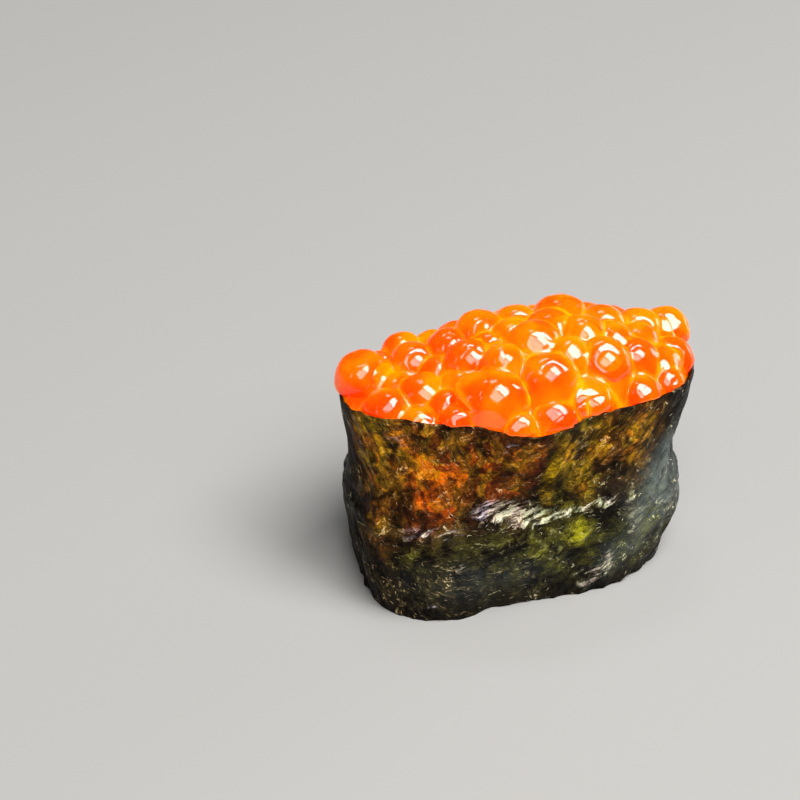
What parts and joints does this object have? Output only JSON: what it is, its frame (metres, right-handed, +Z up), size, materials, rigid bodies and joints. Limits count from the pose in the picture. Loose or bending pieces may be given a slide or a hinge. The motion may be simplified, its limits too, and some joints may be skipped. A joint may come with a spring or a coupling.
{
  "type": "gunkan sushi",
  "caption": "Gunkan sushi: a block of pressed rice wrapped in a standing nori strip, with salmon roe heaped inside the collar that the strip makes above the rice",
  "frame": {"origin": "on the surface it rests on, under the middle of the bounding box", "axes": "+X along the length of the piece, towards its higher end; -Y towards the front; +Z up"},
  "size_m": [0.0542, 0.0326, 0.039],
  "materials": {
    "nori": "thin dried seaweed sheet, dark olive to purple brown, patchy, with a satin sheen on its folds",
    "rice": "cooked short rice, off-white, slightly glossy and translucent",
    "roe": "salmon eggs, bright translucent orange, wet and very glossy"
  },
  "bodies": {
    "root": {"nori": "nori", "rice": "rice", "roe": "roe"}
  },
  "joints": []
}
